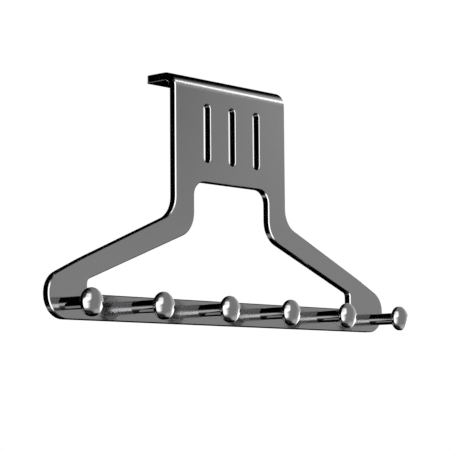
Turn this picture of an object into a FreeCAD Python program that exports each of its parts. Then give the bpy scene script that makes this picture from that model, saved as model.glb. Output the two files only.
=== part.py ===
import FreeCAD, Part
import math
import os

# Over door hook: a thick sheet cut to the outline of a coat hanger, folded back at the top
# into a ledge that rests on a door, with a row of turned pegs along its bottom bar.
# Millimetres. X runs along the width, -Y is the front, +Z is up.
# The origin is on the underside of the ledge, half way along its reach behind the sheet.

V = FreeCAD.Vector

# the sheet
SHEET = 6.3                 # thickness
EDGE_BEVEL = 0.7            # small flat bevel along the cut edges of the outer side
BACK_BEVEL = 0.3            # and along those of the back and of the ledge's underside
HEIGHT = 201.0              # lower edge to the top of the ledge
LEDGE_REACH = 27.1          # how far the ledge stands out behind the sheet
FOLD_INNER = 6.0            # inner radius of the fold
LEDGE_CORNER = 3.5          # corners of the ledge, seen from above

# the outline; a drop is measured down from the top of the ledge, the rest from the lower edge up
WIDTH = 401.6
PANEL_WIDTH = 134.2
NECK_DROP = 113.4           # where the shoulders leave the sides of the panel
NECK_FILLET = 19.7
BEND_HEIGHT = 45.8          # where the shoulders bend down a little more
BEND_RUN = 33.8             # from the plate's ends
BEND_FILLET = 60.0
SHOULDER_FOOT = 30.2        # where the lower lines of the shoulders would reach the plate's ends
END_FILLET = 18.4           # lower corners
END_STRAIGHT = 0.6          # between a lower corner and the arc that runs on to the shoulder

# the hanger-shaped cut-out; its left end lies nearer to the plate's end than its right end
CUT_TOP_WIDTH = 90.6
CUT_TOP_DROP = 86.4
CUT_NECK_DROP = 126.0       # where its sloping sides leave its upright ones
CUT_FOOT = 30.1             # where the left one would reach the cut-out's left end
LEFT_CHEEK = 38.9           # metal left between each end of the cut-out and the plate's end
RIGHT_CHEEK = 46.7
BAR_HEIGHT = 19.4
CUT_TOP_FILLET = 11.6
CUT_NECK_FILLET = 21.0
CUT_END_FILLET = 4.2

# the slots in the panel
SLOT_COUNT = 3
SLOT_PITCH = 30.0
SLOT_WIDTH = 7.9
SLOT_LENGTH = 47.6
SLOT_DROP = 46.4            # to the middle of their length
SLOT_BEVEL = 0.4

# the pegs
PEG_COUNT = 6
PEG_MARGIN = 14.8           # axis of the first and last peg to the plate's ends
PEG_HEIGHT = 11.2           # height of their axis above the lower edge
SHANK_DIAMETER = 10.0
HEAD_DIAMETER = 21.1
PEG_REACH = 36.2            # front of the sheet to the crown of the head
HEAD_DEPTH = 9.0            # flat back of the head to its crown
RIM_ROUND = 1.9             # rounding at both sides of the rim
RIM_STRAIGHT = 1.0          # straight stretch between the two roundings
TAIL_DIAMETER = 6.0
TAIL_CLEARANCE = 0.05       # on the radius, between the tail and its hole
TAIL_CHAMFER = 0.4

# planes that the pieces share
BACK_Y = -LEDGE_REACH / 2
FRONT_Y = BACK_Y - SHEET
LEDGE_END_Y = BACK_Y + LEDGE_REACH
LOWER_Z = SHEET - HEIGHT
FOLD_OUTER = FOLD_INNER + SHEET
PEG_Z = LOWER_Z + PEG_HEIGHT
PEG_PITCH = (WIDTH - 2 * PEG_MARGIN) / (PEG_COUNT - 1)
CUT_LEFT_END = WIDTH / 2 - LEFT_CHEEK
CUT_RIGHT_END = WIDTH / 2 - RIGHT_CHEEK
CUT_NECK = HEIGHT - CUT_NECK_DROP
SLOT_MIDDLE = HEIGHT - SLOT_DROP
CUT_SLOPE = (CUT_NECK - CUT_FOOT) / (CUT_LEFT_END - CUT_TOP_WIDTH / 2)


def cut_height(x):
    """Height of the cut-out's sloping sides above the lower edge, at a distance from the middle."""
    return CUT_FOOT + (CUT_LEFT_END - x) * CUT_SLOPE


def rounded_loop(corners, y):
    """Closed wire at depth y through (x, height, radius) corners, turned by arcs where radius > 0."""
    spots = [V(x, y, LOWER_Z + height) for x, height, radius in corners]
    count = len(spots)
    turns = []
    for i, (x, height, radius) in enumerate(corners):
        here = spots[i]
        before = (spots[i - 1] - here).normalize()
        after = (spots[(i + 1) % count] - here).normalize()
        half = before.getAngle(after) / 2
        run = radius / math.tan(half)
        crown = here + (before + after).normalize() * (radius / math.sin(half) - radius)
        turns.append((here + before * run, crown, here + after * run))
    edges = []
    for i, (start, crown, end) in enumerate(turns):
        if corners[i][2] > 0:
            edges.append(Part.Arc(start, crown, end).toShape())
        edges.append(Part.makeLine(end, turns[(i + 1) % count][0]))
    return Part.Wire(edges)


def mirrored(right_side):
    """A right-hand run of corners followed by the same run on the left."""
    return right_side + [(-x, height, radius) for x, height, radius in reversed(right_side)]


def through_sheet(corners, extra=0.0):
    """Solid with the corners' shape, from the front face to the back face, plus extra on both."""
    face = Part.Face(rounded_loop(corners, FRONT_Y - extra))
    return face.extrude(V(0, SHEET + 2 * extra, 0))


def flat_sheet():
    """Panel, neck, shoulders, rounded ends and bar, below the fold."""
    end = WIDTH / 2
    neck = PANEL_WIDTH / 2
    slope = math.atan2(BEND_HEIGHT - SHOULDER_FOOT, BEND_RUN)
    shoulder_fillet = (SHOULDER_FOOT - END_FILLET - END_STRAIGHT) * math.tan((math.pi / 2 + slope) / 2)
    return through_sheet(mirrored([
        (end, 0, END_FILLET),
        (end, SHOULDER_FOOT, shoulder_fillet),
        (end - BEND_RUN, BEND_HEIGHT, BEND_FILLET),
        (neck, HEIGHT - NECK_DROP, NECK_FILLET),
        (neck, HEIGHT - FOLD_OUTER, 0),
    ]))


def fold_and_ledge():
    """Quarter turn at the top of the panel, and the level ledge behind it."""
    left = -PANEL_WIDTH / 2
    axis_y = FRONT_Y + FOLD_OUTER
    axis_z = SHEET - FOLD_OUTER

    def spot(radius, degrees):
        turn = math.radians(degrees)
        return V(left, axis_y - radius * math.cos(turn), axis_z + radius * math.sin(turn))

    def quarter(radius, start, end):
        return Part.Arc(spot(radius, start), spot(radius, 45), spot(radius, end)).toShape()

    outer_end = V(left, LEDGE_END_Y, SHEET)
    inner_end = V(left, LEDGE_END_Y, 0)
    section = Part.Wire([
        quarter(FOLD_OUTER, 0, 90),
        Part.makeLine(spot(FOLD_OUTER, 90), outer_end),
        Part.makeLine(outer_end, inner_end),
        Part.makeLine(inner_end, spot(FOLD_INNER, 90)),
        quarter(FOLD_INNER, 90, 0),
        Part.makeLine(spot(FOLD_INNER, 0), spot(FOLD_OUTER, 0)),
    ])
    ledge = Part.Face(section).extrude(V(PANEL_WIDTH, 0, 0))
    corners = [e for e in ledge.Edges if is_upright(e) and abs(e.CenterOfMass.y - LEDGE_END_Y) < 0.01]
    return ledge.makeFillet(LEDGE_CORNER, corners)


def is_upright(edge):
    ends = [v.Point for v in edge.Vertexes]
    return len(ends) == 2 and abs(ends[0].x - ends[1].x) + abs(ends[0].y - ends[1].y) < 0.001


def hanger_cut_out():
    """The opening in the shape of a hanger; its two lower ends lie at different distances."""
    neck = CUT_TOP_WIDTH / 2
    return through_sheet([
        (CUT_RIGHT_END, BAR_HEIGHT, CUT_END_FILLET),
        (CUT_RIGHT_END, cut_height(CUT_RIGHT_END), CUT_END_FILLET),
        (neck, CUT_NECK, CUT_NECK_FILLET),
        (neck, HEIGHT - CUT_TOP_DROP, CUT_TOP_FILLET),
        (-neck, HEIGHT - CUT_TOP_DROP, CUT_TOP_FILLET),
        (-neck, CUT_NECK, CUT_NECK_FILLET),
        (-CUT_LEFT_END, CUT_FOOT, CUT_END_FILLET),
        (-CUT_LEFT_END, BAR_HEIGHT, CUT_END_FILLET),
    ], 1.0)


def slot(x):
    """Upright slot with round ends, through the panel."""
    radius = SLOT_WIDTH / 2
    straight = SLOT_LENGTH - SLOT_WIDTH
    foot = V(x - radius, FRONT_Y - 1, LOWER_Z + SLOT_MIDDLE - straight / 2)
    cutter = Part.makeBox(SLOT_WIDTH, SHEET + 2, straight, foot)
    for side in (-1, 1):
        end = V(x, FRONT_Y - 1, LOWER_Z + SLOT_MIDDLE + side * straight / 2)
        cutter = cutter.fuse(Part.makeCylinder(radius, SHEET + 2, end, V(0, 1, 0)))
    return cutter.removeSplitter()


def places(count, pitch):
    """Evenly spaced positions about the middle."""
    return [(i - (count - 1) / 2) * pitch for i in range(count)]


def sharp_edges(shape):
    """Edges where two faces meet at an angle; edges between tangent faces are left out."""
    found = []
    for edge in shape.Edges:
        faces = shape.ancestorsOfType(edge, Part.Face)
        if len(faces) != 2:
            continue
        middle = edge.valueAt((edge.FirstParameter + edge.LastParameter) / 2)
        normals = [face.normalAt(*face.Surface.parameter(middle)) for face in faces]
        if normals[0].getAngle(normals[1]) > 0.5:
            found.append(edge)
    return found


def under_skin(edge):
    """How deep the middle of an edge lies under the outer side of the folded sheet."""
    at = edge.valueAt((edge.FirstParameter + edge.LastParameter) / 2)
    behind = FRONT_Y + FOLD_OUTER - at.y
    above = at.z - (SHEET - FOLD_OUTER)
    if above <= 0:
        return at.y - FRONT_Y
    if behind <= 0:
        return SHEET - at.z
    return FOLD_OUTER - math.hypot(behind, above)


def bevelled(shape, size, edges, outer_side):
    """Bevel the edges that lie on the outer side of the sheet, or those on its inner side."""
    return shape.makeChamfer(size, [e for e in edges if (under_skin(e) < SHEET / 2) == outer_side])


def slot_edges(shape):
    """Sharp edges round the slots."""
    reach = (SLOT_COUNT - 1) / 2 * SLOT_PITCH + SLOT_WIDTH
    lowest = LOWER_Z + SLOT_MIDDLE - SLOT_LENGTH / 2 - 0.1
    return [e for e in sharp_edges(shape)
            if abs(e.CenterOfMass.x) < reach and lowest < e.CenterOfMass.z < lowest + SLOT_LENGTH + 0.2]


def hanger_plate():
    """The folded sheet, its cut edges bevelled, with slots and a hole for each peg's tail."""
    plate = flat_sheet().fuse(fold_and_ledge()).removeSplitter()
    plate = plate.cut(hanger_cut_out())
    plate = bevelled(plate, EDGE_BEVEL, sharp_edges(plate), True)
    plate = bevelled(plate, BACK_BEVEL, sharp_edges(plate), False)
    for x in places(SLOT_COUNT, SLOT_PITCH):
        plate = plate.cut(slot(x))
    plate = bevelled(plate, SLOT_BEVEL, slot_edges(plate), True)
    plate = bevelled(plate, BACK_BEVEL, slot_edges(plate), False)
    hole_radius = TAIL_DIAMETER / 2 + TAIL_CLEARANCE
    for x in places(PEG_COUNT, PEG_PITCH):
        start = V(x, FRONT_Y - 1, PEG_Z)
        plate = plate.cut(Part.makeCylinder(hole_radius, SHEET + 2, start, V(0, 1, 0)))
    return plate


def peg(x):
    """Half section turned about the peg's axis: tail, shank, head with a rounded rim, dome."""
    shank = SHANK_DIAMETER / 2
    tail = TAIL_DIAMETER / 2
    rim_centre = HEAD_DIAMETER / 2 - RIM_ROUND
    head_back = PEG_REACH - HEAD_DEPTH
    rim_start = head_back + RIM_ROUND
    rim_out = rim_start + RIM_STRAIGHT

    # the dome's circle touches the rim's circle from inside and passes through the crown
    rise = PEG_REACH - rim_out
    dome = (rim_centre ** 2 + rise ** 2 - RIM_ROUND ** 2) / (2 * (rise - RIM_ROUND))
    dome_out = PEG_REACH - dome
    meet_angle = math.atan2(rim_out - dome_out, rim_centre)

    def spot(radius, out):
        return V(x + radius, FRONT_Y - out, PEG_Z)

    def on_circle(centre, out, radius, angle):
        return spot(centre + radius * math.cos(angle), out + radius * math.sin(angle))

    def arc(centre, out, radius, start, end):
        angles = (start, (start + end) / 2, end)
        return Part.Arc(*[on_circle(centre, out, radius, a) for a in angles]).toShape()

    line = [
        spot(0, -SHEET),
        spot(tail - TAIL_CHAMFER, -SHEET),
        spot(tail, TAIL_CHAMFER - SHEET),
        spot(tail, 0),
        spot(shank, 0),
        spot(shank, head_back),
        spot(rim_centre, head_back),
    ]
    edges = [Part.makeLine(a, b) for a, b in zip(line, line[1:])]
    edges.append(arc(rim_centre, rim_start, RIM_ROUND, -math.pi / 2, 0))
    edges.append(Part.makeLine(on_circle(rim_centre, rim_start, RIM_ROUND, 0),
                               on_circle(rim_centre, rim_out, RIM_ROUND, 0)))
    edges.append(arc(rim_centre, rim_out, RIM_ROUND, 0, meet_angle))
    edges.append(arc(0, dome_out, dome, meet_angle, math.pi / 2))
    edges.append(Part.makeLine(spot(0, PEG_REACH), spot(0, -SHEET)))
    half_section = Part.Face(Part.Wire(edges))
    return half_section.revolve(V(x, 0, PEG_Z), V(0, 1, 0), 360)


os.makedirs("parts", exist_ok=True)
pieces = {"hanger_plate": hanger_plate()}
for number, place in enumerate(places(PEG_COUNT, PEG_PITCH), 1):
    pieces["peg_" + str(number)] = peg(place)
for name, shape in pieces.items():
    if not shape.isValid() or len(shape.Solids) != 1:
        raise ValueError(name + " is not one sound solid")
    shape.exportStep("parts/" + name + ".step")
    print(name, round(shape.Volume), shape.BoundBox)
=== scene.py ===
"""Over door hook in polished smoky chrome, hung over a pale floor under soft studio light."""

import math

import bmesh
import bpy
from mathutils import Matrix, Vector


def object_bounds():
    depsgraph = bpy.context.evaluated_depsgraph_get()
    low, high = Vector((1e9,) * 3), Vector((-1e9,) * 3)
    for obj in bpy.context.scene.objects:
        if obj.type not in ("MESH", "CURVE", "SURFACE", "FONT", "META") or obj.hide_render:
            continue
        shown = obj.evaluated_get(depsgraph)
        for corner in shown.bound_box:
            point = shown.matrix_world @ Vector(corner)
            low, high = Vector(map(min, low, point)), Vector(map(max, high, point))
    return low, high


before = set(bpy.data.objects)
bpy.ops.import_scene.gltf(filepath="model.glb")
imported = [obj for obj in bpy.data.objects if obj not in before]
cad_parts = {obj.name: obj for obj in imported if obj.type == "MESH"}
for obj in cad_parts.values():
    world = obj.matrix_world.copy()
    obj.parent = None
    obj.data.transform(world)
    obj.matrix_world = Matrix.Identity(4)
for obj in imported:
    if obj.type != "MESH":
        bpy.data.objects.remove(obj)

bl_info = {
    "name": "Over Door Hook",
    "version": (1, 0, 0),
    "blender": (4, 5, 0),
    "location": "3D View > Sidebar > Door Hook",
    "description": "Finishes a hanger-shaped over door hook and sets a studio round it",
    "category": "Object",
}

CAD_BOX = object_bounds()
PLATE = "hanger_plate"
PEGS = sorted(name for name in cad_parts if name.startswith("peg_"))

# The metal's finish. Grain is in ripples per metre along each axis, and a ripple is its height
# in metres.
PLATE_GRAIN, PLATE_RIPPLE = (60.0, 60.0, 1400.0), 4e-7
PEG_GRAIN, PEG_RIPPLE = (30.0, 1800.0, 30.0), 3e-7
CLOUD_SCALE, CLOUD_DETAIL, GRAIN_DETAIL = 22.0, 3.0, 4.0
CLOUD_SHADE = 0.05              # how much the clouds change the colour
CLOUD_WEAR, GRAIN_WEAR = 0.35, 0.15     # how much clouds and grain change the roughness

# What counts as which side of the plate, by the parts of its normal: the satin back, and the front
# bevels that get a painted highlight.
BACKWARD_FROM = 0.9             # the back, by Y
FORWARD_TO = -0.3               # front bevels with a painted highlight, by Y
SIDEWAYS_FROM = 0.2             # and by X

# Places of the colour sockets on a Mix node, which share their names with its other sockets.
COLOUR_A, COLOUR_B, COLOUR_RESULT = 6, 7, 2

# Camera, floor and lamps. A lamp has its name, place, diameter, and the setting with its power.
SENSOR_WIDTH = 36.0
NEAREST, FARTHEST = 0.01, 100.0
FLOOR_SIDES = 72
FLOOR_ROUGHNESS = 0.9
LAMPS = (
    ("main_lamp", (-1.4, -1.6, 1.8), 0.5, "main_power"),
    ("fill_lamp", (1.6, -1.0, 1.2), 0.8, "fill_power"),
)

# The tents, and their soft panels in the order of PANEL_SOCKETS. Headings are degrees from
# straight ahead of the hook towards its right, and heights are degrees above the horizon. The
# last two numbers are the brightness in the first reflection and in the ones after it.
TENT_DETAIL = 5                 # subdivisions of the ball
TENT_SEAM = 150.0               # heading at which the headings start again
PLATE_TENT_SHARE = 0.9          # radius of the plate's tent, which stands inside that of the pegs
LATER_FROM = 1.5                # ray depth between the first reflection and the second
PANEL_SOCKETS = ("Left", "Right", "Bottom", "Top", "Left Softness", "Right Softness",
                 "Bottom Softness", "Top Softness", "Lean", "First Brightness", "Later Brightness")
PEG_PANELS = (
    ("key", (-60, -38, -31, -14, 6, 28, 18, 20, 0.0, 2.6, 3.1)),
    ("key over", (-54, -38, 6, 12, 18, 28, 20, 20, 0.6, 2.6, 0.38)),
    ("key top", (-37, -12, 20, 46, 12, 16, 18, 12, 0.42, 1.8, 0.35)),
    ("corner", (-100, -30, 30, 58, 10, 10, 12, 12, 0.0, 0.07, 0.07)),
    ("low back", (-184, -140, -46, -38, 5, 8, 6, 6, 0.0, 0.42, 0.42)),
    ("wall", (-20, 122, -12, 55, 10, 6, 8, 26, 0.0, 0.43, 0.33)),
    ("wall foot", (-36, 84, -50, -20, 8, 12, 8, 8, 1.4, 0.43, 0.22)),
    ("floor glow", (-60, 30, -80, -64, 10, 40, 8, 14, 0.0, 0.04, 0.04)),
    ("side halo", (86, 108, -12, 8, 52, 5, 8, 36, 0.5, 0.50, 0.4)),
    ("side halo foot", (76, 87, -42, -20, 50, 12, 12, 8, 1.4, 0.42, 0.3)),
    ("side", (87, 110, -13, 1, 20, 6, 12, 5, 0.3, 2.4, 2.4)),
    ("side rim", (119, 122, -4, 28, 2, 4, 6, 10, 0.0, 1.6, 1.6)),
    ("far side", (130, 140, -30, 30, 6, 8, 10, 10, 0.0, 0.0, 1.0)),
)
PLATE_PANELS = (
    ("key", (-90, -54, -8, -4, 6, 24, 32, 18, -1.0, 0.0, 2.4)),
    ("key over", (-90, -50, -8, 0, 6, 26, 8, 30, -1.0, 0.0, 0.5)),
    ("key near", (-62, -26, -30, 16, 6, 12, 8, 14, 0.0, 1.42, 0.0)),
    ("key near low", (-54, -14, -48, -38, 8, 16, 10, 8, -0.3, 1.42, 0.0)),
    ("key near top", (-36, 4, 30, 56, 6, 16, 14, 14, 0.9, 1.42, 0.0)),
    ("low near", (-95, -34, -80, -62, 12, 6, 8, 8, 0.0, 0.4, 0.0)),
    ("low front", (-50, 62, -84, -76, 12, 12, 4, 6, 0.0, 0.4, 0.0)),
    ("front", (-10, 62, -24, 2, 10, 14, 8, 12, 0.0, 0.50, 0.40)),
    ("front over", (-10, 62, 14, 30, 10, 14, 12, 6, 0.0, 0.33, 0.33)),
    ("front low", (-22, 10, -38, -36, 8, 10, 8, 5, 0.0, 0.0, 0.24)),
    ("front right", (53, 62, 12, 30, 8, 14, 8, 6, 0.0, 0.30, 0.30)),
    ("front far", (42, 54, -8, 12, 6, 6, 6, 6, 0.0, 0.0, 1.3)),
    ("fold line", (58, 61, 24, 40, 1, 5, 4, 8, 0.0, 2.8, 2.8)),
    ("fold fade", (58, 70, 24, 40, 1, 30, 4, 8, 0.0, 0.75, 0.75)),
    ("low back", (-157, -149, -44, -38, 4, 4, 4, 4, 0.0, 0.55, 0.55)),
    ("ledge line", (-165, -158, -47, -43, 3, 1, 2, 2, 0.0, 0.55, 0.55)),
    ("back", (-199, -161, -18, 22, 9, 9, 9, 9, 0.0, 1.6, 1.6)),
)


class HookFinish(bpy.types.PropertyGroup):
    """Colours and polish of the metal."""

    plate_colour: bpy.props.FloatVectorProperty(
        name="Plate Colour", description="Reflection colour of the plate's smoky chrome",
        subtype="COLOR", size=3, min=0.0, max=1.0, default=(0.40, 0.40, 0.405))
    # The front bevels' colour is set brighter than the plate's, which paints a highlight on them.
    painted_highlight_colour: bpy.props.FloatVectorProperty(
        name="Painted Bevel Highlight",
        description="Reflection colour of the plate's front bevels, which are brighter to paint a highlight",
        subtype="COLOR", size=3, min=0.0, max=1.0, default=(0.85, 0.85, 0.855))
    peg_colour: bpy.props.FloatVectorProperty(
        name="Peg Colour", description="Reflection colour of the pegs' chrome",
        subtype="COLOR", size=3, min=0.0, max=1.0, default=(0.40, 0.40, 0.405))
    plate_roughness: bpy.props.FloatProperty(
        name="Plate Roughness",
        description="Roughness that rolling and polishing leave on the sheet",
        subtype="FACTOR", min=0.0, max=1.0, default=0.14)
    back_roughness: bpy.props.FloatProperty(
        name="Back Roughness", description="Roughness of the plate's back, which is left satin",
        subtype="FACTOR", min=0.0, max=1.0, default=0.55)
    peg_roughness: bpy.props.FloatProperty(
        name="Peg Roughness",
        description="Roughness that turning and polishing leave on the pegs",
        subtype="FACTOR", min=0.0, max=1.0, default=0.06)


class HookStage(bpy.types.PropertyGroup):
    """Camera, floor and lights."""

    camera_place: bpy.props.FloatVectorProperty(
        name="Camera Place", description="Where the camera stands",
        subtype="TRANSLATION", unit="LENGTH", size=3, default=(-1.02553, -0.93468, -0.25662))
    camera_heading: bpy.props.FloatProperty(
        name="Camera Heading",
        description="Turn of the view from straight at the plate's front towards its right",
        subtype="ANGLE", default=math.radians(48.0))
    camera_tilt: bpy.props.FloatProperty(
        name="Camera Tilt", description="How far the view looks up",
        subtype="ANGLE", default=math.radians(6.001))
    camera_roll: bpy.props.FloatProperty(
        name="Camera Roll", description="Turn about the line of view, clockwise",
        subtype="ANGLE", default=math.radians(-0.4217))
    lens: bpy.props.FloatProperty(
        name="Lens", description="Focal length for a sensor 36 mm wide, in millimetres",
        min=1.0, default=135.70)
    floor_colour: bpy.props.FloatVectorProperty(
        name="Floor Colour", description="Colour of the floor",
        subtype="COLOR", size=3, min=0.0, max=1.0, default=(0.86, 0.86, 0.86))
    floor_drop: bpy.props.FloatProperty(
        name="Floor Drop", description="How far the floor lies under the ledge",
        unit="LENGTH", min=0.25, default=0.40)
    floor_reach: bpy.props.FloatProperty(
        name="Floor Reach", description="Radius of the floor",
        unit="LENGTH", min=0.5, default=3.5)
    tent_radius: bpy.props.FloatProperty(
        name="Tent Radius", description="Radius of the tent that the pegs show",
        unit="LENGTH", min=1.0, default=4.0)
    main_power: bpy.props.FloatProperty(
        name="Main Lamp", description="Power of the soft lamp at the upper left",
        unit="POWER", min=0.0, default=18.0)
    fill_power: bpy.props.FloatProperty(
        name="Fill Lamp", description="Power of the soft lamp at the upper right",
        unit="POWER", min=0.0, default=8.0)
    world_light: bpy.props.FloatProperty(
        name="World Light", description="Strength of the pale light from all round the floor",
        min=0.0, default=0.8)


def feed(tree, socket, value):
    """Link a socket to the one given, or set it to a plain value."""
    if isinstance(value, bpy.types.NodeSocket):
        tree.links.new(value, socket)
    else:
        socket.default_value = value


def math_node(tree, operation, *values):
    """Math node fed by sockets or plain numbers; returns its output."""
    node = tree.nodes.new("ShaderNodeMath")
    node.operation = operation
    for socket, value in zip(node.inputs, values):
        feed(tree, socket, value)
    return node.outputs[0]


def vector_node(tree, operation, *values):
    """Vector math node fed by sockets or plain vectors; returns its vector."""
    node = tree.nodes.new("ShaderNodeVectorMath")
    node.operation = operation
    for socket, value in zip(node.inputs, values):
        feed(tree, socket, value)
    return node.outputs["Vector"]


def split_vector(tree, vector):
    """The X, Y and Z of a vector, by name."""
    node = tree.nodes.new("ShaderNodeSeparateXYZ")
    tree.links.new(vector, node.inputs[0])
    return node.outputs


def mix_colours(tree, factor, first, second, blend="MIX"):
    """Colour mix fed by sockets or plain values; returns the colour."""
    node = tree.nodes.new("ShaderNodeMix")
    node.data_type = "RGBA"
    node.blend_type = blend
    feed(tree, node.inputs["Factor"], factor)
    feed(tree, node.inputs[COLOUR_A], first)
    feed(tree, node.inputs[COLOUR_B], second)
    return node.outputs[COLOUR_RESULT]


def noise_node(tree, place, scale, detail):
    """Noise between 0 and 1."""
    node = tree.nodes.new("ShaderNodeTexNoise")
    node.inputs["Scale"].default_value = scale
    node.inputs["Detail"].default_value = detail
    tree.links.new(place, node.inputs["Vector"])
    return node.outputs["Fac"]


def rise_over(tree, value, start, end):
    """0 before the start, 1 past the end, and a smooth slope between them."""
    node = tree.nodes.new("ShaderNodeMapRange")
    node.interpolation_type = "SMOOTHSTEP"
    tree.links.new(value, node.inputs["Value"])
    tree.links.new(start, node.inputs["From Min"])
    tree.links.new(end, node.inputs["From Max"])
    return node.outputs["Result"]


def new_group(name, inputs, outputs):
    """Empty shader node group with its named sockets, and the two nodes that hold them."""
    group = bpy.data.node_groups.new(name, "ShaderNodeTree")
    for socket, kind, value in inputs:
        made = group.interface.new_socket(name=socket, in_out="INPUT", socket_type=kind)
        made.default_value = value
    for socket, kind in outputs:
        group.interface.new_socket(name=socket, in_out="OUTPUT", socket_type=kind)
    return group, group.nodes.new("NodeGroupInput"), group.nodes.new("NodeGroupOutput")


def new_material(name):
    """New material, and its node tree."""
    material = bpy.data.materials.new(name)
    material.use_nodes = True
    return material, material.node_tree


def soft_panel_group():
    """A soft-edged panel of light between two headings and two heights, all in degrees."""
    group, given, result = new_group(
        "soft_panel",
        [(socket, "NodeSocketFloat", 0.0)
         for socket in ("Heading", "Height", "Later", *PANEL_SOCKETS)],
        [("Light", "NodeSocketFloat")])
    take = given.outputs
    middle = math_node(group, "MULTIPLY", math_node(group, "ADD", take["Bottom"], take["Top"]), 0.5)
    above = math_node(group, "SUBTRACT", take["Height"], middle)
    leaned = math_node(group, "MULTIPLY", above, take["Lean"])
    heading = math_node(group, "SUBTRACT", take["Heading"], leaned)
    change = math_node(group, "SUBTRACT", take["Later Brightness"], take["First Brightness"])
    change = math_node(group, "MULTIPLY", change, take["Later"])
    shape = math_node(group, "ADD", take["First Brightness"], change)
    for value, low, high in ((heading, "Left", "Right"), (take["Height"], "Bottom", "Top")):
        start = math_node(group, "SUBTRACT", take[low], take[low + " Softness"])
        end = math_node(group, "ADD", take[high], take[high + " Softness"])
        shape = math_node(group, "MULTIPLY", shape, rise_over(group, value, start, take[low]))
        left_over = math_node(group, "SUBTRACT", 1.0, rise_over(group, value, take[high], end))
        shape = math_node(group, "MULTIPLY", shape, left_over)
    group.links.new(shape, result.inputs["Light"])
    return group


def tent_material(name, panels, see_through):
    """Black cloth, or clear film, with soft-edged panels of light on it."""
    material, tree = new_material(name)
    material.cycles.emission_sampling = "NONE"
    tree.nodes.clear()
    place = tree.nodes.new("ShaderNodeTexCoord").outputs["Object"]
    outward = split_vector(tree, vector_node(tree, "NORMALIZE", place))
    front = math_node(tree, "MULTIPLY", outward["Y"], -1.0)
    turn = math_node(tree, "DEGREES", math_node(tree, "ARCTAN2", outward["X"], front))
    heading = math_node(tree, "WRAP", turn, TENT_SEAM, TENT_SEAM - 360.0)
    height = math_node(tree, "DEGREES", math_node(tree, "ARCSINE", outward["Z"]))
    depth = tree.nodes.new("ShaderNodeLightPath").outputs["Ray Depth"]
    later = math_node(tree, "GREATER_THAN", depth, LATER_FROM)
    group = bpy.data.node_groups.get("soft_panel") or soft_panel_group()
    light = 0.0
    for label, values in panels:
        panel = tree.nodes.new("ShaderNodeGroup")
        panel.node_tree = group
        panel.label = label
        tree.links.new(heading, panel.inputs["Heading"])
        tree.links.new(height, panel.inputs["Height"])
        tree.links.new(later, panel.inputs["Later"])
        for socket, value in zip(PANEL_SOCKETS, values):
            panel.inputs[socket].default_value = value
        light = math_node(tree, "ADD", light, panel.outputs["Light"])
    glow = tree.nodes.new("ShaderNodeEmission")
    tree.links.new(light, glow.inputs["Color"])
    shown = glow.outputs["Emission"]
    if see_through:
        clear = tree.nodes.new("ShaderNodeBsdfTransparent")
        both = tree.nodes.new("ShaderNodeAddShader")
        tree.links.new(shown, both.inputs[0])
        tree.links.new(clear.outputs["BSDF"], both.inputs[1])
        shown = both.outputs["Shader"]
    out = tree.nodes.new("ShaderNodeOutputMaterial")
    tree.links.new(shown, out.inputs["Surface"])
    return material


def make_camera(scene, look):
    """The camera of the photograph's view."""
    data = bpy.data.cameras.new("studio_camera")
    data.sensor_width = SENSOR_WIDTH
    data.lens = look.lens
    data.clip_start, data.clip_end = NEAREST, FARTHEST
    camera = bpy.data.objects.new("studio_camera", data)
    scene.collection.objects.link(camera)
    turn = (Matrix.Rotation(-look.camera_heading, 4, "Z")
            @ Matrix.Rotation(math.radians(90) + look.camera_tilt, 4, "X")
            @ Matrix.Rotation(look.camera_roll, 4, "Z"))
    camera.matrix_world = Matrix.Translation(look.camera_place) @ turn
    scene.camera = camera


def ball_mesh(name, radius):
    """Smooth sphere seen from inside."""
    shape = bmesh.new()
    bmesh.ops.create_icosphere(shape, subdivisions=TENT_DETAIL, radius=radius)
    bmesh.ops.reverse_faces(shape, faces=shape.faces)
    mesh = bpy.data.meshes.new(name)
    shape.to_mesh(mesh)
    shape.free()
    for face in mesh.polygons:
        face.use_smooth = True
    return mesh


def make_tent(scene, name, radius, panels, lit, see_through):
    """Tent that shows only in the metal of the nodes that it lights, and never to the camera."""
    tent = bpy.data.objects.new(name, ball_mesh(name, radius))
    tent.location = (CAD_BOX[0] + CAD_BOX[1]) / 2
    tent.data.materials.append(tent_material(name, panels, see_through))
    tent.visible_camera = False
    tent.visible_diffuse = False
    tent.visible_shadow = False
    scene.collection.objects.link(tent)
    group = bpy.data.collections.new(name + "_lights")
    for node in lit:
        group.objects.link(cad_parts[node])
    tent.light_linking.receiver_collection = group


def make_floor(scene, look):
    """Round pale floor, which takes the hook's shadow and doesn't show in the metal."""
    mesh = bpy.data.meshes.new("floor")
    reach = look.floor_reach
    turns = [math.radians(step * 360 / FLOOR_SIDES) for step in range(FLOOR_SIDES)]
    corners = [(math.cos(turn) * reach, math.sin(turn) * reach, -look.floor_drop)
               for turn in turns]
    mesh.from_pydata(corners, [], [list(range(FLOOR_SIDES))])
    material, tree = new_material("pale_floor")
    shader = tree.nodes["Principled BSDF"]
    shader.inputs["Base Color"].default_value = (*look.floor_colour, 1)
    shader.inputs["Roughness"].default_value = FLOOR_ROUGHNESS
    mesh.materials.append(material)
    floor = bpy.data.objects.new("floor", mesh)
    floor.visible_glossy = False
    scene.collection.objects.link(floor)


def make_lamp(scene, name, place, size, power):
    """Soft lamp turned to the hook; it lights the floor, and metal shows the tents instead."""
    data = bpy.data.lights.new(name, "AREA")
    data.shape = "DISK"
    data.size = size
    data.energy = power
    lamp = bpy.data.objects.new(name, data)
    lamp.location = place
    lamp.rotation_euler = (-Vector(place)).to_track_quat("-Z", "Y").to_euler()
    lamp.visible_camera = False
    lamp.visible_glossy = False
    scene.collection.objects.link(lamp)


def white_background(tree, strength):
    """White light from all round."""
    node = tree.nodes.new("ShaderNodeBackground")
    node.inputs["Color"].default_value = (1, 1, 1, 1)
    node.inputs["Strength"].default_value = strength
    return node.outputs["Background"]


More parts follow.
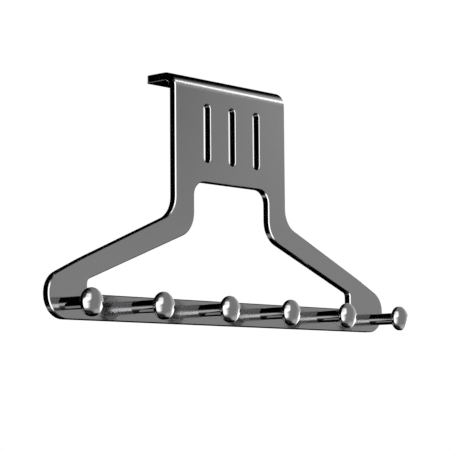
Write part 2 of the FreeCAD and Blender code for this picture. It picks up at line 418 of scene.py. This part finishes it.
def make_world(scene, look):
    """White to the camera, to gloss and to transmission, and a paler light for the floor."""
    world = bpy.data.worlds.new("studio_white")
    world.use_nodes = True
    tree = world.node_tree
    tree.nodes.clear()
    path = tree.nodes.new("ShaderNodeLightPath").outputs
    seen = math_node(tree, "MAXIMUM", path["Is Camera Ray"], path["Is Glossy Ray"])
    seen = math_node(tree, "MAXIMUM", seen, path["Is Transmission Ray"])
    mix = tree.nodes.new("ShaderNodeMixShader")
    tree.links.new(seen, mix.inputs["Fac"])
    tree.links.new(white_background(tree, look.world_light), mix.inputs[1])
    tree.links.new(white_background(tree, 1.0), mix.inputs[2])
    out = tree.nodes.new("ShaderNodeOutputWorld")
    tree.links.new(mix.outputs["Shader"], out.inputs["Surface"])
    scene.world = world


class HOOK_OT_stage(bpy.types.Operator):
    """Make the camera, the floor and the studio round the hook"""

    bl_idname = "hook.stage"
    bl_label = "Build Stage"

    def execute(self, context):
        scene = context.scene
        look = scene.hook_stage
        make_camera(scene, look)
        make_tent(scene, "peg_tent", look.tent_radius, PEG_PANELS, PEGS, False)
        make_tent(scene, "plate_tent", look.tent_radius * PLATE_TENT_SHARE, PLATE_PANELS, [PLATE],
                  True)
        make_floor(scene, look)
        for name, place, size, power in LAMPS:
            make_lamp(scene, name, place, size, getattr(look, power))
        make_world(scene, look)
        scene.view_settings.view_transform = "Standard"
        return {"FINISHED"}


def polish_group():
    """What polishing leaves on metal: faint clouds in colour and roughness, and fine grain."""
    group, given, result = new_group(
        "polish",
        [("Place", "NodeSocketVector", (0, 0, 0)),
         ("Color", "NodeSocketColor", (0.5, 0.5, 0.5, 1)),
         ("Roughness", "NodeSocketFloat", 0.1), ("Grain", "NodeSocketVector", (1, 1, 1))],
        [("Color", "NodeSocketColor"), ("Roughness", "NodeSocketFloat"),
         ("Height", "NodeSocketFloat")])
    take = given.outputs
    clouds = noise_node(group, take["Place"], CLOUD_SCALE, CLOUD_DETAIL)
    stretched = vector_node(group, "MULTIPLY", take["Place"], take["Grain"])
    grain = noise_node(group, stretched, 1.0, GRAIN_DETAIL)
    shade = math_node(group, "MULTIPLY", clouds, CLOUD_SHADE)
    shade = math_node(group, "ADD", shade, 1 - CLOUD_SHADE / 2)
    tint = mix_colours(group, 1.0, take["Color"], shade, "MULTIPLY")
    worn = math_node(group, "MULTIPLY", clouds, CLOUD_WEAR)
    worn = math_node(group, "ADD", worn, 1 - (CLOUD_WEAR + GRAIN_WEAR) / 2)
    worn = math_node(group, "ADD", worn, math_node(group, "MULTIPLY", grain, GRAIN_WEAR))
    rough = math_node(group, "MULTIPLY", take["Roughness"], worn)
    for socket, value in (("Color", tint), ("Roughness", rough), ("Height", grain)):
        group.links.new(value, result.inputs[socket])
    return group


def satin_back(tree, normal, polished, satin):
    """The polished roughness everywhere but on faces that look straight back, which are satin."""
    backward = math_node(tree, "GREATER_THAN", split_vector(tree, normal)["Y"], BACKWARD_FROM)
    change = math_node(tree, "SUBTRACT", satin, polished)
    return math_node(tree, "ADD", polished, math_node(tree, "MULTIPLY", change, backward))


def painted_bevel_highlight(tree, normal, face, highlight_paint):
    """The face's colour everywhere but on bevels that look forward and to a side, which get a
    brighter colour as a painted highlight.
    """
    part = split_vector(tree, normal)
    sideways = math_node(tree, "ABSOLUTE", part["X"])
    sideways = math_node(tree, "GREATER_THAN", sideways, SIDEWAYS_FROM)
    forward = math_node(tree, "LESS_THAN", part["Y"], FORWARD_TO)
    # Bevels facing forward and to a side, which get the painted highlight.
    highlight_mask = math_node(tree, "MULTIPLY", sideways, forward)
    return mix_colours(tree, highlight_mask, (*face, 1), (*highlight_paint, 1))


def chrome(name, colour, roughness, grain, ripple, back=None, highlight_paint=None):
    """Polished metal; the back may have its own roughness, and the bevels a brighter colour, which
    paints a highlight on them.
    """
    material, tree = new_material(name)
    shader = tree.nodes["Principled BSDF"]
    shader.inputs["Metallic"].default_value = 1.0
    place = tree.nodes.new("ShaderNodeTexCoord").outputs
    polish = tree.nodes.new("ShaderNodeGroup")
    polish.node_tree = bpy.data.node_groups.get("polish") or polish_group()
    # Front bevels get a brighter colour: a painted highlight.
    shown = (*colour, 1) if highlight_paint is None else painted_bevel_highlight(tree, place["Normal"], colour, highlight_paint)
    feed(tree, polish.inputs["Color"], shown)
    polish.inputs["Roughness"].default_value = roughness
    polish.inputs["Grain"].default_value = grain
    tree.links.new(place["Object"], polish.inputs["Place"])
    tree.links.new(polish.outputs["Color"], shader.inputs["Base Color"])
    rough = polish.outputs["Roughness"]
    if back is not None:
        rough = satin_back(tree, place["Normal"], rough, back)
    tree.links.new(rough, shader.inputs["Roughness"])
    bump = tree.nodes.new("ShaderNodeBump")
    bump.inputs["Distance"].default_value = ripple
    tree.links.new(polish.outputs["Height"], bump.inputs["Height"])
    tree.links.new(bump.outputs["Normal"], shader.inputs["Normal"])
    return material


class HOOK_OT_plate(bpy.types.Operator):
    """Give the plate its smoky chrome, with a painted highlight on its front bevels"""

    bl_idname = "hook.plate"
    bl_label = "Finish Plate"

    def execute(self, context):
        finish = context.scene.hook_finish
        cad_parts[PLATE].material_slots[0].material = chrome(
            "plate_chrome", finish.plate_colour, finish.plate_roughness, PLATE_GRAIN, PLATE_RIPPLE,
            back=finish.back_roughness, highlight_paint=finish.painted_highlight_colour)
        return {"FINISHED"}


class HOOK_OT_pegs(bpy.types.Operator):
    """Give the six pegs their chrome"""

    bl_idname = "hook.pegs"
    bl_label = "Finish Pegs"

    def execute(self, context):
        finish = context.scene.hook_finish
        material = chrome("peg_chrome", finish.peg_colour, finish.peg_roughness, PEG_GRAIN,
                          PEG_RIPPLE)
        for name in PEGS:
            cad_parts[name].material_slots[0].material = material
        return {"FINISHED"}


class HOOK_PT_sidebar(bpy.types.Panel):
    """Settings and buttons of the hook in the sidebar"""

    bl_idname = "HOOK_PT_sidebar"
    bl_label = "Over Door Hook"
    bl_space_type = "VIEW_3D"
    bl_region_type = "UI"
    bl_category = "Door Hook"

    def draw(self, context):
        finish, look = context.scene.hook_finish, context.scene.hook_stage
        for title, settings, operators in (("Metal", finish, ("hook.plate", "hook.pegs")),
                                           ("Studio", look, ("hook.stage",))):
            box = self.layout.box()
            box.label(text=title)
            for name in settings.__annotations__:
                box.prop(settings, name)
            for operator in operators:
                box.operator(operator)


CLASSES = (HookFinish, HookStage, HOOK_OT_stage, HOOK_OT_plate, HOOK_OT_pegs, HOOK_PT_sidebar)


def register():
    for cls in CLASSES:
        bpy.utils.register_class(cls)
    bpy.types.Scene.hook_finish = bpy.props.PointerProperty(type=HookFinish)
    bpy.types.Scene.hook_stage = bpy.props.PointerProperty(type=HookStage)


def unregister():
    del bpy.types.Scene.hook_stage
    del bpy.types.Scene.hook_finish
    for cls in reversed(CLASSES):
        bpy.utils.unregister_class(cls)


def main():
    register()
    bpy.ops.hook.stage()
    bpy.ops.hook.plate()
    bpy.ops.hook.pegs()


if __name__ == "__main__":
    main()
